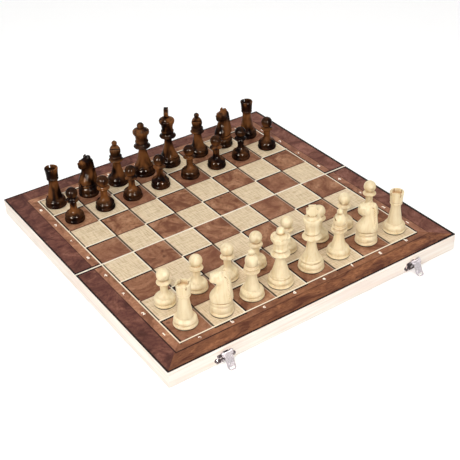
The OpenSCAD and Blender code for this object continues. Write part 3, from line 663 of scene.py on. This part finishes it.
def coordinate_marks(leaf):
    """Letters along one end and figures up both sides of a leaf, as a thin print."""
    side = -1 if leaf == "front" else 1
    first_rank = 0 if leaf == "front" else 4
    places = []
    for i in range(8):
        x = -FIELD_X + (i + 0.5) * FIELD_X / 4
        places.append(("abcdefgh"[i], x, side * MARK_Y))
    for j in range(first_rank, first_rank + 4):
        y = -FIELD_Y + (j + 0.5) * FIELD_Y / 4
        places += [(str(j + 1), -MARK_X, y), (str(j + 1), MARK_X, y)]
    glyphs = []
    for text, x, y in places:
        bpy.ops.object.text_add(location=(0, 0, 0))
        glyph = bpy.context.object
        glyph.data.body = text
        glyph.data.align_x = "CENTER"
        glyph.data.align_y = "CENTER"
        glyph.data.size = MARK_SIZE
        glyph.data.extrude = MARK_HALF_T
        glyph.data.offset = MARK_BOLDNESS
        pick(glyph)
        bpy.ops.object.convert(target="MESH")
        glyph = bpy.context.object
        glyph.data.transform(Matrix.Translation(
            (x, SEAM_Y + y, TOP_Z + MARK_HALF_T + MARK_CLEAR)))
        glyphs.append(glyph)
    pick(*glyphs)
    bpy.ops.object.join()
    marks = bpy.context.object
    marks.name = f"{leaf}_coordinate_marks"
    f = Finish(f"{leaf}_mark_ink")
    ink = f.noise(f.place, 900, 2)
    wear(marks, f.finish(f.mix(ink, srgb(255, 250, 240), srgb(246, 236, 218)), 0.5))
    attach(marks, f"{leaf}_leaf")


for leaf in ("front", "back"):
    coordinate_marks(leaf)


# ------------------------------------------------------------------ floor, light and camera
FLOOR_REACH = 6.0
FLOOR_Z = -0.02 * MM
FLOOR_LIFT = 0.12             # what the floor adds to reach white in the camera's own view
WORLD_LEVEL = 0.46
LAMPS = (                     # name, place, size, power, and whether only glossy finishes see it
    ("key_light", (-1.1, -1.0, 1.5), 0.6, 21, False),
    ("fill_light", (0.9, -1.3, 1.3), 0.8, 3, False),
    ("top_light", (0.1, 0.4, 2.2), 1.6, 13.5, False),
    ("left_glint", (-1.0, -0.29, 0.6), 0.34, 90, True),
    ("right_glint", (-0.18, -1.02, 0.6), 0.34, 90, True))


def floor():
    """White paper, with a hole under the opened box so that the trays are seen from below."""
    hole_x, hole_y = HALF_X - 2 * MM, HALF_Y - 2 * MM
    mesh = bpy.data.meshes.new("floor")
    xs = (-FLOOR_REACH, -hole_x, hole_x, FLOOR_REACH)
    ys = (-FLOOR_REACH, SEAM_Y - hole_y, SEAM_Y + hole_y, FLOOR_REACH)
    corners = [(x, y, FLOOR_Z) for y in ys for x in xs]
    faces = [(4 * j + i, 4 * j + i + 1, 4 * j + i + 5, 4 * j + i + 4)
             for j in range(3) for i in range(3) if (i, j) != (1, 1)]
    mesh.from_pydata(corners, [], faces)
    paper = bpy.data.objects.new("floor", mesh)
    bpy.context.scene.collection.objects.link(paper)
    f = Finish("floor_paper")
    seen = f.new("ShaderNodeLightPath").outputs["Is Camera Ray"]
    wear(paper, f.finish((0.94, 0.94, 0.94, 1.0), 0.9, Emission_Color=(1, 1, 1, 1),
                         Emission_Strength=f.math("MULTIPLY", seen, FLOOR_LIFT)))


def world():
    """A plain soft light all round, seen as white by the camera and in glossy pieces."""
    around = bpy.data.worlds.new("studio")
    bpy.context.scene.world = around
    around.use_nodes = True
    tree = around.node_tree
    tree.nodes.clear()
    path = tree.nodes.new("ShaderNodeLightPath")
    soft = tree.nodes.new("ShaderNodeBackground")
    soft.inputs["Color"].default_value = (1, 1, 1, 1)
    soft.inputs["Strength"].default_value = WORLD_LEVEL
    white = tree.nodes.new("ShaderNodeBackground")
    white.inputs["Color"].default_value = (1, 1, 1, 1)
    white.inputs["Strength"].default_value = 1.0
    direct = tree.nodes.new("ShaderNodeMath")
    direct.operation = "MAXIMUM"
    tree.links.new(path.outputs["Is Camera Ray"], direct.inputs[0])
    tree.links.new(path.outputs["Is Glossy Ray"], direct.inputs[1])
    clear = tree.nodes.new("ShaderNodeMath")
    clear.operation = "MAXIMUM"
    tree.links.new(direct.outputs[0], clear.inputs[0])
    tree.links.new(path.outputs["Is Transmission Ray"], clear.inputs[1])
    blend = tree.nodes.new("ShaderNodeMixShader")
    out = tree.nodes.new("ShaderNodeOutputWorld")
    tree.links.new(clear.outputs[0], blend.inputs[0])
    tree.links.new(soft.outputs[0], blend.inputs[1])
    tree.links.new(white.outputs[0], blend.inputs[2])
    tree.links.new(blend.outputs[0], out.inputs[0])


def lamps():
    """Square lamps, each turned to the origin."""
    for name, place, size, power, only_gloss in LAMPS:
        data = bpy.data.lights.new(name, "AREA")
        data.shape = "SQUARE"
        data.size = size
        data.energy = power
        lamp = bpy.data.objects.new(name, data)
        lamp.location = place
        lamp.rotation_euler = (-Vector(place)).to_track_quat("-Z", "Y").to_euler()
        lamp.visible_diffuse = not only_gloss
        data.color = (1, 0.88, 0.74) if only_gloss else (1, 1, 1)
        bpy.context.scene.collection.objects.link(lamp)


def camera():
    """Stands where the photograph was taken from."""
    data = bpy.data.cameras.new("camera")
    data.sensor_width = 36
    data.lens = 73.86
    data.clip_end = 50
    viewer = bpy.data.objects.new("camera", data)
    viewer.location = (-514.73 * MM, SEAM_Y - 791.87 * MM, TOP_Z + 625.57 * MM)
    viewer.rotation_euler = Euler([math.radians(a) for a in (55.610, 1.623, -34.773)])
    bpy.context.scene.collection.objects.link(viewer)
    bpy.context.scene.camera = viewer


floor()
world()
lamps()
camera()
bpy.context.scene.view_settings.view_transform = "Standard"
